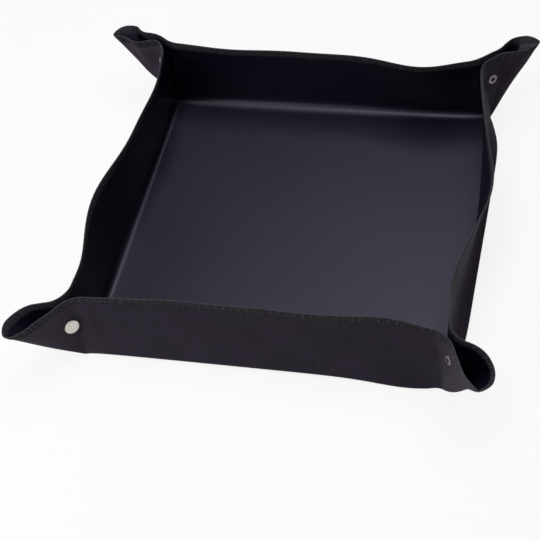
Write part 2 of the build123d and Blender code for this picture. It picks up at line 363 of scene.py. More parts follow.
def rippled(cloth, wall, u, v):
    """Gentle waves of slack cloth: a sum of sines of the flat coordinates, still at the creases and ends."""
    turn = RIPPLE_SHIFT * WALLS.index(wall)
    waves = sum(height * np.sin(along * u + up * v + shift * turn) for height, along, up, shift in RIPPLES)
    calm = smooth((cloth.floor_side / 2 - np.abs(u)) / RIPPLE_CALM) * smooth(v / cloth.wall_height)
    return cloth.ripple * waves * calm


def placed(cloth, wall, u, along, outward, height, base=1.0, below=0.0):
    """World points of the middle of the cloth, leaning in step with their height.

    The rim's lean grows with the height. The foot's bulge fades with a power of the height left, and is still
    at the floor's corners. Both posts' leans grow with the height, and fall off as an exponential of the
    square of the distance from their ends.
    """
    number = WALLS.index(wall)
    half = cloth.floor_side / 2
    share = height / cloth.wall_height
    calm = smooth((half - np.abs(u) + below) / CORNER_CALM)
    bulge = waved(cloth, BASE_WAVES[number], u) * np.clip(1 - share, 0, 1) ** BASE_FADE_POWER * base * calm
    outward = outward + waved(cloth, WALL_WAVES[number], u) * share + bulge
    for side in ENDS.values():
        distance = np.maximum(half - side * u, 0)
        felt = np.exp(-(distance / cloth.lean_spread) ** 2) * share
        lean_along, lean_outward = corner_lean(cloth, wall, side)
        along = along + lean_along * felt
        outward = outward + lean_outward * felt
    height = height + BASE_LIFT * bulge + cloth.thickness / 2
    return turned(np.stack((along, -half - outward, height), axis=-1), wall)


def wall_surface(cloth, wall, u, v):
    """Middle of the cloth on a wall strip, u along the crease and v up from it, in the flat sheet.

    Next to the crease the cloth follows a parabola that is level with the floor at one end and upright at the
    other. Its reach shrinks towards the ends of the crease. Above it the wall is straight, and leans.
    """
    spare = np.maximum(cloth.floor_side / 2 - np.abs(u), LEAST_SPARE)
    full_reach = cloth.crease_reach[WALLS.index(wall)]
    reach = full_reach * spare / (spare + full_reach)
    near = np.clip(v, -reach, reach)
    inward = (reach - near) ** 2 / (4 * reach) + np.maximum(-reach - v, 0)
    height = (reach + near) ** 2 / (4 * reach) + np.maximum(v - reach, 0)
    outward = rippled(cloth, wall, u, v) - inward
    base = smooth((v + cloth.floor_margin) / cloth.floor_margin)
    return placed(cloth, wall, u, u, outward, height, base, np.minimum(v, 0))


def flap_directions(cloth, wall, side):
    """Table of a half ear's directions from the floor's corner: sheet angle, angle from the post, angle off
    the mirror plane.

    The cloth around a corner is a cone, so a curve on a unit sphere gives it. On the wall that curve is a
    great circle. From the bend on, its heading turns evenly between the given headings, and the two angles
    are its running sums. A smooth correction then brings its end to the ear's bottom fold.
    """
    headings = (RING_HEADINGS if side > 0 else CAP_HEADINGS)[WALLS.index(wall)]
    angle = np.linspace(BEND_ANGLE, DIAGONAL_ANGLE, CURVE_STEPS)
    heading = np.interp(angle, HEADING_ANGLES, np.radians(FIRST_HEADINGS + headings))
    step = angle[1] - angle[0]

    def running_sum(rate):
        return np.concatenate(((0,), np.cumsum((rate[1:] + rate[:-1]) / 2) * step))

    off_plane = np.arcsin(-sin(BEND_ANGLE) / sqrt(2)) + running_sum(np.sin(heading))
    from_post = np.arctan(tan(BEND_ANGLE) / sqrt(2)) + running_sum(np.cos(heading) / np.cos(off_plane))
    share = smooth(angle / DIAGONAL_ANGLE)
    off_plane = off_plane - off_plane[-1] * share
    from_post = from_post + (cloth.tip_angle[ear_number(wall, side)] - from_post[-1]) * share
    on_wall = np.linspace(WALL_EDGE_ANGLE - WALL_EDGE_SPARE, BEND_ANGLE, WALL_CURVE_STEPS)[:-1]
    return (
        np.concatenate((on_wall, angle)),
        np.concatenate((np.arctan(np.tan(on_wall) / sqrt(2)), from_post)),
        np.concatenate((np.arcsin(-np.sin(on_wall) / sqrt(2)), off_plane)),
    )


def flap_reach(cloth, angle):
    """Distance from the floor's corner to the rim at a sheet angle: to the straight rim, or to the round."""
    straight = cloth.wall_height / np.cos(angle)
    centre = cloth.wall_height - cloth.corner_round
    middle = centre * (np.sin(angle) + np.cos(angle))
    on_round = middle + np.sqrt(np.maximum(middle**2 - 2 * centre**2 + cloth.corner_round**2, 0))
    return np.where(straight * np.sin(angle) > centre, on_round, straight)


def flap_surface(cloth, snaps, wall, side, angle, share):
    """Middle of the cloth on a half ear, at a sheet angle and a share of the way from the corner to the rim.

    A point lies at its distance along the cone's direction. Near the corner the bottom fold sinks. The outer
    part of the ear is turned about the upright, the cloth is drawn flat around the snap, and everything leans
    with the post.
    """
    table_angle, table_post, table_plane = flap_directions(cloth, wall, side)
    from_post = np.interp(angle, table_angle, table_post)
    off_plane = np.interp(angle, table_angle, table_plane)
    distance = share * flap_reach(cloth, angle)
    reach = distance * np.cos(off_plane) * np.sin(from_post)
    apart = distance * np.sin(off_plane)
    height = distance * np.cos(off_plane) * np.cos(from_post)
    ear = ear_number(wall, side)
    sag = cloth.ear_sag[ear] * smooth((angle - SAG_START) / (DIAGONAL_ANGLE - SAG_START))
    height = height * (1 - sag * (1 - smooth(distance / cloth.sag_length + SAG_EASE)))
    twist = cloth.ear_twist[ear] * smooth((reach - cloth.twist_start[ear]) / cloth.twist_length[ear])
    reach, apart = (
        reach * np.cos(twist) + side * apart * np.sin(twist),
        apart * np.cos(twist) - side * reach * np.sin(twist),
    )
    snap_reach, snap_height, snap_apart = pressed_place(cloth, snaps, wall, side)
    from_snap = np.hypot(reach - snap_reach, height - snap_height)
    pressed = 1 - smooth((from_snap - snaps.pressed_radius) / snaps.release)
    apart = apart + (snap_apart - apart) * pressed
    along = side * (cloth.floor_side / 2 + (reach - apart) / sqrt(2))
    u = side * (cloth.floor_side / 2 + np.minimum(distance * np.sin(angle), 0))
    outward = (reach + apart) / sqrt(2) + rippled(cloth, wall, u, distance * np.cos(angle))
    return placed(cloth, wall, u, along, outward, height)


def floor_corner(cloth, wall, side):
    """The floor's corner at an end of a wall, in the middle of the cloth."""
    return as_world((side * cloth.floor_side / 2, -cloth.floor_side / 2, cloth.thickness / 2), wall)


def ear_direction(wall, side):
    """Level direction of an ear: straight out from its corner, along its mirror plane."""
    return as_world((side, -1, 0), wall).normalized()


def snap_place(cloth, snaps, wall, side):
    """Centre of a snap on its ear's mirror plane, its axis out of this side of the ear, and the post."""
    along, outward = corner_lean(cloth, wall, side)
    post = as_world((along, -outward, cloth.wall_height), wall).normalized()
    axis = ear_direction(wall, side).cross(post).normalized() * side
    ear = ear_number(wall, side)
    out = post.cross(axis) * side * snaps.reach[ear]
    return floor_corner(cloth, wall, side) + out + post * snaps.height[ear], axis, post


def pressed_place(cloth, snaps, wall, side):
    """A snap's centre as reach, height and distance from the mirror plane, without the post's lean."""
    centre, axis, _ = snap_place(cloth, snaps, wall, side)
    along, outward = corner_lean(cloth, wall, side)
    place = centre - floor_corner(cloth, wall, side)
    upright = place - as_world((along, -outward, 0), wall) * (place.z / cloth.wall_height)
    apart = snaps.offset / as_world((-side, -1, 0), wall).normalized().dot(axis)
    return upright.dot(ear_direction(wall, side)), place.z, apart


def unit(vectors):
    """Vectors scaled to length one."""
    return vectors / np.maximum(np.linalg.norm(vectors, axis=-1, keepdims=True), TINY)


def surface_frame(surface, first, second, first_step, second_step):
    """Points of a surface, its unit directions along both parameters and its unit normal, from small steps to
    both sides of each point."""
    along_first = surface(first + first_step, second) - surface(first - first_step, second)
    along_second = surface(first, second + second_step) - surface(first, second - second_step)
    normal = np.cross(along_first, along_second)
    return surface(first, second), unit(along_first), unit(along_second), unit(normal)


def grid_faces(rows, columns, close_rows=False, close_columns=False):
    """Quads of a grid, row by row. The last row or column may run on into the first."""
    row, column = np.meshgrid(
        np.arange(rows - (not close_rows)), np.arange(columns - (not close_columns)), indexing="ij")
    low, high = row * columns, (row + 1) % rows * columns
    beyond = (column + 1) % columns
    return np.stack((low + column, low + beyond, high + beyond, high + column), axis=-1).reshape(-1, 4)


def add_mesh(name, points, faces, materials, face_materials=None, flat=None, smooth_faces=None):
    """A mesh object at the origin, with its flat sheet coordinates as UV map where they are given."""
    mesh = bpy.data.meshes.new(name)
    mesh.from_pydata(points.reshape(-1, 3), (), faces.tolist() if isinstance(faces, np.ndarray) else faces)
    if face_materials is not None:
        mesh.polygons.foreach_set("material_index", np.asarray(face_materials, dtype=np.int32))
    if smooth_faces is None:
        smooth_faces = np.ones(len(mesh.polygons), dtype=bool)
    mesh.polygons.foreach_set("use_smooth", smooth_faces)
    if flat is not None:
        corner_vertices = np.zeros(len(mesh.loops), dtype=np.int32)
        mesh.loops.foreach_get("vertex_index", corner_vertices)
        layer = mesh.uv_layers.new(name="flat_sheet")
        layer.data.foreach_set("uv", flat.reshape(-1, 2)[corner_vertices].astype(np.float32).ravel())
    for finish in materials:
        mesh.materials.append(finish)
    mesh.validate()
    mesh.update()
    piece = bpy.data.objects.new(name, mesh)
    bpy.context.scene.collection.objects.link(piece)
    return piece


def held_ends(grid):
    """A grid with one more line close to each of its four ends, so that shading stays flat up to the ends."""
    for _ in range(2):
        first = grid[:1] + (grid[1:2] - grid[:1]) * HOLD_SHARE
        last = grid[-1:] + (grid[-2:-1] - grid[-1:]) * HOLD_SHARE
        grid = np.concatenate((grid[:1], first, grid[1:-1], last, grid[-1:])).swapaxes(0, 1)
    return grid


def cloth_shell(name, cloth, points, rise, normal, flat, roll_steps=ROLL_STEPS):
    """A closed shell of cloth around its middle surface, whose last row is the rim.

    Each column's outline runs up the outside at half the thickness, over the rim in a half circle, and down
    the inside. Strips of quads close both end columns. With no roll steps the last row has a plain edge.
    """
    points, rise, normal, flat = (held_ends(grid) for grid in (points, rise, normal, flat))
    rows, columns = points.shape[:2]
    half = cloth.thickness / 2
    roll = np.linspace(0, pi, roll_steps + 2)[1:-1, None, None]
    rim = points[-1] + half * (np.cos(roll) * normal[-1] + np.sin(roll) * rise[-1])
    outline = np.concatenate((points + half * normal, rim, (points - half * normal)[::-1]))
    outline_flat = np.concatenate((flat, np.repeat(flat[-1:], roll_steps, axis=0), flat[::-1]))
    count = len(outline)
    kinds = np.full(count, EDGE)
    kinds[:rows - 1] = OUTSIDE
    kinds[rows + roll_steps:count - 1] = INSIDE
    low = np.arange(count // 2 - 1)
    strip = np.stack((low, low + 1, count - 2 - low, count - 1 - low), axis=-1)
    if count % 2:
        middle = count // 2
        strip = np.concatenate((strip, ((middle - 1, middle, middle, middle + 1),)))
    ends = np.concatenate((strip * columns, strip[:, ::-1] * columns + columns - 1))
    faces = grid_faces(count, columns, close_rows=True).tolist()
    faces += [list(dict.fromkeys(face)) for face in ends.tolist()]
    face_kinds = np.concatenate((np.repeat(kinds, columns - 1), np.full(len(ends), EDGE)))
    rounded = np.arange(count) < count - 1
    rounded[rows - 1] = roll_steps > 0
    smooth_faces = np.concatenate((np.repeat(rounded, columns - 1), np.zeros(len(ends), dtype=bool)))
    return add_mesh(name, outline, faces, cloth_materials(cloth), face_kinds, outline_flat, smooth_faces)


def rows_up(cloth):
    """Heights of the cloth's rows above a crease: close together at the crease and at the rim."""
    rim = cloth.wall_height - RIM_BAND
    return np.concatenate((
        np.linspace(FIRST_ROW, CREASE_BAND, CREASE_ROWS)[:-1],
        np.linspace(CREASE_BAND, rim, MIDDLE_ROWS)[:-1],
        np.linspace(rim, cloth.wall_height, RIM_ROWS),
    ))


def sheet_flat(cloth, wall, u, v):
    """Flat sheet coordinates of wall coordinates u along the crease and v up from it."""
    points = np.stack((u, -cloth.floor_side / 2 - v, np.zeros_like(u)), axis=-1)
    return turned(points, wall)[..., :2]


class Socket:
    """An output in a material's node tree. Arithmetic on it adds Math nodes."""

    def __init__(self, shader, output):
        self.shader = shader
        self.output = output

    def maths(self, operation, other=0.0):
        return self.shader.node("ShaderNodeMath", {"operation": operation}, {0: self, 1: other})

    def __rsub__(self, other):
        return self * -1.0 + other

    __add__ = __radd__ = partialmethod(maths, "ADD")
    __mul__ = __rmul__ = partialmethod(maths, "MULTIPLY")
    __pow__ = partialmethod(maths, "POWER")
    sine = partialmethod(maths, "SINE")
    absolute = partialmethod(maths, "ABSOLUTE")
    greater = partialmethod(maths, "MAXIMUM")
    lesser = partialmethod(maths, "MINIMUM")
    zigzag = partialmethod(maths, "PINGPONG")


class Shader:
    """A material whose nodes are written as expressions."""

    def __init__(self, name):
        self.material = bpy.data.materials.new(name)
        self.material.use_nodes = True
        self.tree = self.material.node_tree
        self.tree.nodes.clear()

    def node(self, kind, settings, sockets, output=0):
        """Add a node: its settings first, then the values or links of its sockets."""
        made = self.tree.nodes.new(kind)
        for key, value in settings.items():
            setattr(made, key, value)
        for key, value in sockets.items():
            if isinstance(value, Socket):
                self.tree.links.new(value.output, made.inputs[key])
            else:
                made.inputs[key].default_value = value
        return Socket(self, made.outputs[output] if len(made.outputs) else None)

    def flat_sheet(self):
        """The flat sheet's coordinates in metres: both as a vector, then across and down the sheet."""
        vector = self.node("ShaderNodeUVMap", {"uv_map": "flat_sheet"}, {})
        across = self.node("ShaderNodeSeparateXYZ", {}, {0: vector})
        return vector, across, Socket(self, across.output.node.outputs["Y"])

    def place(self):
        """Object coordinates."""
        return self.node("ShaderNodeTexCoord", {}, {}, output="Object")

    def noise(self, vector, name):
        """One of the named noises at a place, from 0 to 1."""
        scale, detail, low, high = NOISES[name]
        cells = self.node("ShaderNodeTexNoise", {}, {"Vector": vector, "Scale": scale, "Detail": detail})
        return self.spread(cells, low, high)

    def spread(self, value, low, high):
        """A value stretched so that low becomes 0 and high becomes 1."""
        return self.node("ShaderNodeMapRange", {}, {0: value, 1: low, 2: high})

    def mixed(self, share, first, second):
        """Two colours, each given or from a node, mixed by a share."""
        first, second = (part if isinstance(part, Socket) else (*part, 1.0) for part in (first, second))
        return self.node("ShaderNodeMix", {"data_type": "RGBA"}, {0: share, 6: first, 7: second}, output=2)

    def toned(self, share, colour, dark, light):
        """A colour between a darker and a lighter shade of it, given as factors, mixed by a share."""
        return self.mixed(share, *([factor * part for part in colour] for factor in (dark, light)))

    def bump(self, height, strength, distance):
        return self.node(
            "ShaderNodeBump", {}, {"Height": height, "Strength": strength, "Distance": distance})

    def finish(self, **sockets):
        """Join a Principled shader with these sockets to the output."""
        names = {key.replace("_", " ").title().replace("Ior", "IOR"): part for key, part in sockets.items()}
        surface = self.node("ShaderNodeBsdfPrincipled", {}, names)
        self.node("ShaderNodeOutputMaterial", {}, {"Surface": surface})
        return self.material


def rim_band(shader, cloth, vector, across, down):
    """The overlocked band: its mask, 1 within a stitch's depth of the edge, its fuzz and its colour."""
    start = cloth.floor_side / 2 + cloth.wall_height - cloth.thread_depth
    outermost = across.absolute().greater(down.absolute())
    mask = shader.spread(outermost, start - BAND_BEFORE, start + BAND_AFTER)
    fuzz = shader.noise(vector, "rim_fuzz")
    return mask, fuzz, shader.toned(fuzz ** 2, cloth.thread_colour, dark=0.22, light=1.5)


def inside_coating(cloth):
    """Smooth black coating: satin, with a fine grain and slow changes of gloss, and fuzzy along the rim."""
    shader = Shader("inside_coating")
    vector, across, down = shader.flat_sheet()
    band, fuzz, band_colour = rim_band(shader, cloth, vector, across, down)
    cloud = shader.noise(vector, "coating_cloud")
    grain = shader.noise(vector, "coating_grain")
    colour = shader.toned(cloud, cloth.inside_colour, dark=0.8, light=1.25)
    height = 0.12 * grain + band * fuzz
    return shader.finish(
        base_color=shader.mixed(band, colour, band_colour),
        specular_ior_level=0.5,
        specular_tint=(*cloth.coating_tint, 1.0),
        roughness=0.35 + 0.06 * cloud + 0.04 * grain + 0.40 * band,
        normal=shader.bump(height, strength=0.5, distance=0.0004))


def outside_weave(cloth):
    """Woven outside: herringbone ribs over crossed yarns, charcoal with purple and blue casts, a fuzzy rim.

    The ribs are a sine of the distance down the sheet plus a zigzag of the distance across it. At the ears
    the tops of the ribs are paler as painted light, and the back right ear is kept dark as painted shade.
    """
    shader = Shader("outside_weave")
    vector, across, down = shader.flat_sheet()
    band, fuzz, band_colour = rim_band(shader, cloth, vector, across, down)
    rib, yarn = 2 * pi / RIB_WIDTH, 2 * pi / YARN_WIDTH
    twill = ((down + (across + SHEET_SHIFT).zigzag(STRIPE_WIDTH)) * rib).sine()
    weave = (across * yarn).sine() * (down * yarn).sine()
    cast = shader.noise(vector, "weave_cast")
    cloud = shader.noise(vector, "weave_cloud")
    lint = shader.noise(vector, "lint")
    casts = (np.multiply(factors, cloth.outside_colour) for factors in (BLUE_CAST, PURPLE_CAST))
    share = shader.spread(0.45 * cloud + 0.40 * twill + 0.35 * lint, low=-0.35, high=1.0)
    shade = shader.toned(share, cloth.outside_colour, dark=0.35, light=1.9)
    colour = shader.mixed(0.5, shader.mixed(cast, *casts), shade)
    corner = cloth.floor_side / 2
    nearest = across.absolute().lesser(down.absolute())
    # Painted light: the weave near each ear's corner turns paler, most on the rib tops
    painted_ear_light = shader.spread(nearest, corner - EAR_LIGHT_BEFORE, corner + EAR_LIGHT_AFTER)
    # Painted shade: the back right ear is left without that paler weave, darker than the other ears
    unshaded_ears = shader.spread(across + down, EAR_SHADE_FULL, EAR_SHADE_NONE)
    painted = shader.spread(twill, low=-0.6, high=0.8)
    colour = shader.mixed(painted_ear_light * unshaded_ears * (0.18 + 0.46 * painted), colour, cloth.worn_colour)
    height = (0.35 * weave + 0.9 * twill + 0.5 * lint) * (1 - band) + 1.6 * band * fuzz
    return shader.finish(
        base_color=shader.mixed(band, colour, band_colour),
        roughness=0.74 + 0.10 * lint,
        specular_ior_level=0.10,
        sheen_weight=0.05,
        sheen_roughness=0.5,
        normal=shader.bump(height, strength=0.55, distance=0.0003))


def rim_edge(cloth):
    """Cut edge under the overlock: matt, a little paler than the weave, which paints a highlight along the
    rim.
    """
    shader = Shader("rim_edge")
    fuzz = shader.noise(shader.flat_sheet()[0], "edge_fuzz")
    return shader.finish(
        # Painted highlight: the edge is toned up to 2.6 times the weave's colour
        base_color=shader.toned(fuzz, cloth.outside_colour, dark=0.9, light=2.6),
        roughness=0.75 + 0.1 * fuzz,
        normal=shader.bump(fuzz, strength=0.4, distance=0.0002))


def overlock_thread(cloth):
    """Spun thread: matt, uneven, with pale specks."""
    shader = Shader("overlock_thread")
    speck = shader.noise(shader.place(), "thread_speck")
    return shader.finish(
        base_color=shader.toned(speck, cloth.thread_colour, dark=0.45, light=1.7),
        roughness=0.78 - 0.1 * speck,
        sheen_weight=0.2)


def snap_metal(name, colour, roughness):
    """Plated metal: satin, with fine scuffs and slow changes of tone."""
    shader = Shader(name)
    place = shader.place()
    cloud = shader.noise(place, "metal_cloud")
    scuff = shader.noise(place, "scuff")
    return shader.finish(
        base_color=shader.toned(cloud, colour, dark=0.86, light=1.08),
        metallic=1.0,
        roughness=roughness + 0.06 * cloud + 0.08 * scuff,
        normal=shader.bump(scuff, strength=0.08, distance=0.0001))


def cloth_materials(cloth):
    """Outside, inside and edge of the cloth, in the order of a shell's face kinds, made on first use."""
    makers = outside_weave, inside_coating, rim_edge
    return [bpy.data.materials.get(maker.__name__) or maker(cloth) for maker in makers]


def bend_at_crease(piece):
    """Bake a wall strip's placement into its mesh. A foot that bulges lies on the table beyond its crease.
    """
    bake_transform(piece)


def bend_at_fold(piece):
    """Bake the placement of a piece of an ear into its mesh."""
    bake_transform(piece)


class TRAY_OT_floor(Operator):
    """Make the flat middle of the sheet."""
    bl_idname = "tray.floor"
    bl_label = "Floor cloth"

    def execute(self, context):
        cloth = context.scene.tray_cloth
        side = cloth.floor_side / 2 - cloth.floor_margin
        lines = np.linspace(-side, side, FLOOR_LINES)
        a, b = np.meshgrid(lines[::-1], lines)
        middle = np.stack((a, b, np.full_like(a, cloth.thickness / 2)), axis=-1)
        rise, normal = (np.broadcast_to(way, middle.shape) for way in ((0, 1.0, 0), (0, 0, -1.0)))
        piece = cloth_shell("floor_cloth", cloth, middle, rise, normal, middle[..., :2], roll_steps=0)
        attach(piece, "floor")
        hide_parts("floor_panel")
        return {"FINISHED"}


class TRAY_OT_walls(Operator):
    """Make the four wall strips, each with its crease and a margin of the floor."""
    bl_idname = "tray.walls"
    bl_label = "Wall cloth"

    def execute(self, context):
        cloth = context.scene.tray_cloth
        below = np.linspace(-cloth.floor_margin, FIRST_ROW, MARGIN_ROWS)[:-1]
        turn = pi / 2 * END_CROWDING
        places = np.sin(np.linspace(-turn, turn, WALL_COLUMNS)) / sin(turn)
        v, place = np.meshgrid(np.concatenate((below, rows_up(cloth))), places, indexing="ij")
        u = place * (cloth.floor_side / 2 + np.where(v < 0, v, v * tan(WALL_EDGE_ANGLE)))
        for wall in WALLS:
            surface = partial(wall_surface, cloth, wall)
            points, _, rise, normal = surface_frame(surface, u, v, LENGTH_STEP, LENGTH_STEP)
            flat = sheet_flat(cloth, wall, u, v)
            piece = cloth_shell(f"{wall}_wall_cloth", cloth, points, rise, normal, flat)
            bend_at_crease(piece)
            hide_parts(f"{wall}_wall")
        return {"FINISHED"}


class TRAY_OT_ears(Operator):
    """Make the ears: at each end of each wall, three pieces: across the post, from the gusset line and from
    the flare line.
    """
    bl_idname = "tray.ears"
    bl_label = "Ear cloth"

    def execute(self, context):
        cloth, snaps = context.scene.tray_cloth, context.scene.tray_snaps
        shares = rows_up(cloth) / cloth.wall_height
        for wall, end, side in HALF_EARS:
            surface = partial(flap_surface, cloth, snaps, wall, side)
            for part, (first, last, columns, node) in FLAP_PIECES.items():
                share, angle = np.meshgrid(shares, np.linspace(first, last, columns), indexing="ij")
                points, _, rise, normal = surface_frame(surface, angle, share, SHARE_STEP, SHARE_STEP)
                distance = share * flap_reach(cloth, angle)
                u = side * (cloth.floor_side / 2 + distance * np.sin(angle))
                flat = sheet_flat(cloth, wall, u, distance * np.cos(angle))
                grids = (grid[:, ::side] for grid in (points, rise, side * normal, flat))
                name = f"{wall}_{end}_{part}"
                piece = cloth_shell(f"{name}_cloth", cloth, *grids)
                bend_at_fold(piece)
                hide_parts(f"{wall}_{end}_{node}")
        return {"FINISHED"}


def stitch_tubes(path, beside, radius):
    """Thread along many short paths at once: a ring of points around each path point, square to the path."""
    ahead = unit(np.gradient(path, axis=1))
    across = unit(np.cross(ahead, beside))
    outward = np.cross(ahead, across)
    turn = np.linspace(0, 2 * pi, TUBE_SIDES, endpoint=False)[:, None]
    ring = np.cos(turn) * across[:, :, None] + np.sin(turn) * outward[:, :, None]
    taper = np.ones(path.shape[1])
    taper[0] = taper[-1] = TUBE_TAPER
    points = path[:, :, None] + radius * taper[:, None, None] * ring
    count, length = path.shape[:2]
    start = np.arange(count)[:, None] * length * TUBE_SIDES
    quads = start[..., None] + grid_faces(length, TUBE_SIDES, close_columns=True)
    first = start + np.arange(TUBE_SIDES)
    caps = np.concatenate((first[:, ::-1], first + (length - 1) * TUBE_SIDES))
    return points, np.concatenate((quads.reshape(-1, 4), caps))


def wobble(number, size, turn, shift=0.0):
    """A sine of a stitch's number, which makes the stitches uneven."""
    return size * np.sin(turn * number + shift)


def stitch_paths(cloth, surface, places, spacing, step, overlap=0.0):
    """Paths of the stitches, and the rim's direction beside them: up the outside, over the rim and down the
    inside, slanting along the rim.

    Slow and fast sines of a stitch's number make slant, depth and lift uneven. The overlap lifts it further.
    """
    number = np.arange(len(places))[:, None]
    first = places[:, None] + (STITCH_SLANT + wobble(number, *SLANT_WOBBLE)) * spacing
    depth = MEAN_DEPTH + wobble(number, *DEPTH_WOBBLE, wobble(number, *DEPTH_DRIFT))
    second = 1 - STITCH_DEPTH * (cloth.thread_depth / cloth.wall_height) * depth
    points, beside, rise, normal = surface_frame(surface, first, second, step, SHARE_STEP)
    lift = cloth.thickness / 2 + cloth.thread_radius * (MEAN_LIFT + wobble(number, *LIFT_WOBBLE)) + overlap
    over = np.sqrt(np.maximum(1 - STITCH_FACE**2, 0))
    return points + lift[..., None] * (STITCH_FACE[:, None] * normal + over[:, None] * rise), beside


def rim_places(cloth, rim, first, last):
    """Sheet angles of the stitches on an ear's rim, evenly spaced along it, and their mean distance."""
    angle = np.linspace(first, last, RIM_STEPS)
    steps = np.linalg.norm(np.diff(rim(angle, np.ones_like(angle)), axis=0), axis=1)
    run = np.concatenate(((0,), np.cumsum(steps)))
    count = max(round(run[-1] / cloth.thread_pitch), 2)
    return np.interp(np.linspace(0, run[-1], count, endpoint=False), run, angle), (last - first) / count


class TRAY_OT_rim_thread(Operator):
    """Make the overlock stitches along the whole rim, one piece for each piece of cloth."""
    bl_idname = "tray.rim_thread"
    bl_label = "Rim thread"

    def execute(self, context):
        cloth, snaps = context.scene.tray_cloth, context.scene.tray_snaps
        thread = overlock_thread(cloth)
        half_length = cloth.floor_side / 2 + cloth.wall_height * tan(WALL_EDGE_ANGLE)
        count = round(2 * half_length / cloth.thread_pitch)
        wall_places = np.linspace(-half_length, half_length, count, endpoint=False)
        seam = SEAM_LIFT * np.exp(-((wall_places - SEAM_PLACE) / SEAM_REACH) ** 2)[:, None]
        for wall in WALLS:
            def wall_rim(first, second, wall=wall):
                return wall_surface(cloth, wall, first, second * cloth.wall_height)

            overlap = seam if wall == "front" else 0.0
            path, beside = stitch_paths(
                cloth, wall_rim, wall_places, 2 * half_length / count, LENGTH_STEP, overlap)
            piece = self.sewn(f"{wall}_wall_thread", cloth, thread, path, beside)
            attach(piece, f"{wall}_wall")
            for end, side in ENDS.items():
                ear_rim = partial(flap_surface, cloth, snaps, wall, side)
                for part, (first, last, _, _) in FLAP_PIECES.items():
                    places, spacing = rim_places(cloth, ear_rim, first, last)
                    path, beside = stitch_paths(cloth, ear_rim, places, spacing, SHARE_STEP)
                    name = f"{wall}_{end}_{part}_thread"
                    piece = self.sewn(name, cloth, thread, path[:, ::side], beside)
                    bend_at_fold(piece)
        return {"FINISHED"}

    def sewn(self, name, cloth, thread, path, beside):
        """One piece of thread along its stitches' paths."""
        piece = add_mesh(name, *stitch_tubes(path, beside, cloth.thread_radius), (thread,))
        return piece


def lathe(profile, centre, axis, start):
    """A closed surface: a closed profile of (radius, height) pairs carried round an axis."""
    axis = unit(np.array(axis))
    start = unit(np.array(start) - axis * np.dot(start, axis))
    side = np.cross(axis, start)
    turn = np.linspace(0, 2 * pi, LATHE_STEPS, endpoint=False)[None, :, None]
    radius, height = (np.array(profile)[:, index, None, None] for index in (0, 1))
    points = np.array(centre) + radius * (np.cos(turn) * start + np.sin(turn) * side) + height * axis
    return points, grid_faces(len(profile), LATHE_STEPS, close_columns=True)


def arc(centre, radius, first, last, steps):
    """Points of a circular arc as (radius, height) pairs, between two angles in degrees."""
    angle = np.radians(np.linspace(first, last, steps))
    return [(centre[0] + radius * cos(turn), centre[1] + radius * sin(turn)) for turn in angle]


class TRAY_OT_snaps(Operator):
    """Make the caps and rings, and give the sockets and studs their metal."""
    bl_idname = "tray.snaps"
    bl_label = "Snap fasteners"

    def execute(self, context):
        cloth, snaps = context.scene.tray_cloth, context.scene.tray_snaps
        silver = snap_metal("satin_silver", snaps.cap_colour, roughness=0.28)
        dark = snap_metal("dark_nickel", snaps.ring_colour, roughness=0.30)
        black = snap_metal("black_nickel", snaps.inner_colour, roughness=0.55)
        made = {"cap": (self.cap_profile(snaps), silver), "ring": (self.ring_profile(snaps), dark)}
        face = snaps.offset + cloth.thickness / 2
        for wall, end, side in HALF_EARS:
            profile, metal = made[end]
            centre, axis, upright = snap_place(cloth, snaps, wall, side)
            shape = lathe(profile, centre + axis * face, axis, upright)
            piece = add_mesh(f"{wall}_snap_{end}_metal", *shape, (metal,))
            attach(piece, f"{wall}_{end}_gusset")
            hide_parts(f"{wall}_snap_{end}")
        for wall in WALLS:
            for node in ("socket", "stud"):
                mesh = frame["nodes"][f"{wall}_snap_{node}"].data
                mesh.materials.clear()
                mesh.materials.append(black)
        return {"FINISHED"}

    def cap_profile(self, snaps):
        """Cap: a low dome, a shallow groove, a rounded bead at the edge and a flat underside."""
        radius, rise = snaps.cap_diameter / 2, snaps.cap_rise
        dome = [(radius * share, rise - CAP_FALL * share**2) for share in CAP_DOME]
        groove = [(radius * share, rise - depth) for share, depth in CAP_GROOVE]
        edge = arc((radius - CAP_BEAD, rise - CAP_DROP - CAP_BEAD), CAP_BEAD, *CAP_BEAD_ARC)
        under = [(radius - inset, height) for inset, height in CAP_UNDER]
        return dome + groove + edge + under + [(radius * POLE_SHARE, 0.0)]

    def ring_profile(self, snaps):
        """Ring: an eyelet whose rolled lip falls to a flat flange, round an open bore."""
        radius, bore, rise = snaps.ring_diameter / 2, snaps.ring_bore / 2, snaps.ring_rise
        roll = rise * RING_ROLL_SHARE
        foot = [(bore + RING_WALL, -RING_DEPTH)]
        inner = [(bore, -RING_DEPTH), (bore, rise - roll)]
        lip = arc((bore + roll, rise - roll), roll, *RING_LIP_ARC)
        flange = arc((radius - RING_EDGE, RING_EDGE), RING_EDGE, *RING_EDGE_ARC)
        under = [(radius - RING_INSET, 0.0), (bore + RING_WALL, 0.0)]
        return foot + inner + lip + flange + under + foot


def stage_material(name, grey):
    """Pale floor: plain matt, and mostly its own white where the camera or a reflection looks at it."""
    shader = Shader(name)
    outputs = shader.node("ShaderNodeLightPath", {}, {}).output.node.outputs
    camera, glossy, through = (
        Socket(shader, outputs[f"Is {ray} Ray"]) for ray in ("Camera", "Glossy", "Transmission"))
    matt = shader.node("ShaderNodeBsdfDiffuse", {}, {"Color": (grey, grey, grey, 1)})
    white = shader.node("ShaderNodeEmission", {}, {"Color": (1, 1, 1, 1), "Strength": 1.0})
    share = (camera + glossy + through) * WHITE_SHARE
    surface = shader.node("ShaderNodeMixShader", {}, {0: share, 1: matt, 2: white})
    shader.node("ShaderNodeOutputMaterial", {}, {"Surface": surface})
    return shader.material


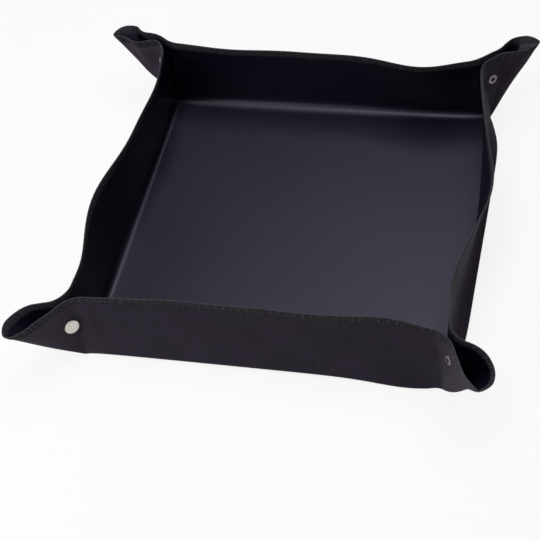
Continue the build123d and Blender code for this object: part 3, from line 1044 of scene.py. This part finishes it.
class TRAY_OT_stage(Operator):
    """Make the camera, the pale floor and the soft lights."""
    bl_idname = "tray.stage"
    bl_label = "Stage"

    def execute(self, context):
        scene, stage = context.scene, context.scene.tray_stage
        self.camera(scene, stage)
        self.floor(stage)
        for name, values in LAMPS.items():
            self.lamp(scene, name, *values)
        self.world(scene)
        scene.view_settings.view_transform = "Standard"
        return {"FINISHED"}

    def floor(self, stage):
        """Round pale floor, level in the middle and swept up to its rim as half a cosine wave."""
        turn, share = np.meshgrid(
            np.linspace(0, 2 * pi, FLOOR_SPOKES), np.linspace(FLOOR_HOLE, 1, FLOOR_RINGS))
        radius = stage.floor_radius * share
        rise = stage.sweep_height * (1 - np.cos(pi * np.clip(2 * share - 1, 0, 1))) / 2
        points = np.stack((radius * np.cos(turn), radius * np.sin(turn), rise - FLOOR_DROP), axis=-1)
        quads = grid_faces(FLOOR_RINGS, FLOOR_SPOKES)[:, ::-1]
        add_mesh("pale_floor", points, quads, (stage_material("pale_floor", FLOOR_GREY),))

    def camera(self, scene, stage):
        """Stand the camera at its angles and distance from the target, and roll it about its own axis."""
        data = bpy.data.cameras.new("camera")
        data.lens = stage.lens
        data.sensor_width = SENSOR_WIDTH
        camera = bpy.data.objects.new("camera", data)
        scene.collection.objects.link(camera)
        level = cos(stage.elevation)
        back = Vector((sin(stage.azimuth) * level, -cos(stage.azimuth) * level, sin(stage.elevation)))
        right = Vector((cos(stage.azimuth), sin(stage.azimuth), 0))
        up = back.cross(right)
        turned_right = right * cos(stage.roll) + up * sin(stage.roll)
        turned_up = up * cos(stage.roll) - right * sin(stage.roll)
        camera.matrix_world = (
            Matrix.Translation(Vector(stage.target) + back * stage.distance)
            @ Matrix((turned_right, turned_up, back)).transposed().to_4x4())
        scene.camera = camera

    def lamp(self, scene, name, place, target, size, power):
        """A soft panel of light at a place, facing a target."""
        data = bpy.data.lights.new(name, "AREA")
        data.shape = "RECTANGLE"
        data.size, data.size_y = size
        data.energy = power
        lamp = bpy.data.objects.new(name, data)
        scene.collection.objects.link(lamp)
        facing = (Vector(target) - Vector(place)).to_track_quat("-Z", "Y")
        lamp.matrix_world = Matrix.Translation(place) @ facing.to_matrix().to_4x4()

    def world(self, scene):
        """Even light from all around."""
        world = bpy.data.worlds.new("studio")
        scene.world = world
        world.use_nodes = True
        background = world.node_tree.nodes["Background"]
        background.inputs["Color"].default_value = (1, 1, 1, 1)
        background.inputs["Strength"].default_value = WORLD_STRENGTH


class TRAY_PT_panel(Panel):
    """Lists what makes the tray."""
    bl_idname = "TRAY_PT_panel"
    bl_label = "Potting soil tray"
    bl_space_type = "VIEW_3D"
    bl_region_type = "UI"
    bl_category = "Tray"

    def draw(self, context):
        for operator in OPERATORS:
            self.layout.operator(operator.bl_idname)


OPERATORS = (TRAY_OT_rim_thread, TRAY_OT_floor, TRAY_OT_walls, TRAY_OT_ears, TRAY_OT_snaps, TRAY_OT_stage)
GROUPS = {"tray_cloth": TrayCloth, "tray_snaps": TraySnaps, "tray_stage": TrayStage}


def register():
    for group in GROUPS.values():
        bpy.utils.register_class(group)
    for name, group in GROUPS.items():
        setattr(bpy.types.Scene, name, PointerProperty(type=group))
    for kind in OPERATORS + (TRAY_PT_panel,):
        bpy.utils.register_class(kind)


def unregister():
    for kind in (TRAY_PT_panel,) + OPERATORS[::-1]:
        bpy.utils.unregister_class(kind)
    for name in GROUPS:
        delattr(bpy.types.Scene, name)
    for group in GROUPS.values():
        bpy.utils.unregister_class(group)


def main():
    register()
    bpy.ops.tray.rim_thread()
    bpy.ops.tray.floor()
    bpy.ops.tray.walls()
    bpy.ops.tray.ears()
    bpy.ops.tray.snaps()
    bpy.ops.tray.stage()


if __name__ == "__main__":
    main()
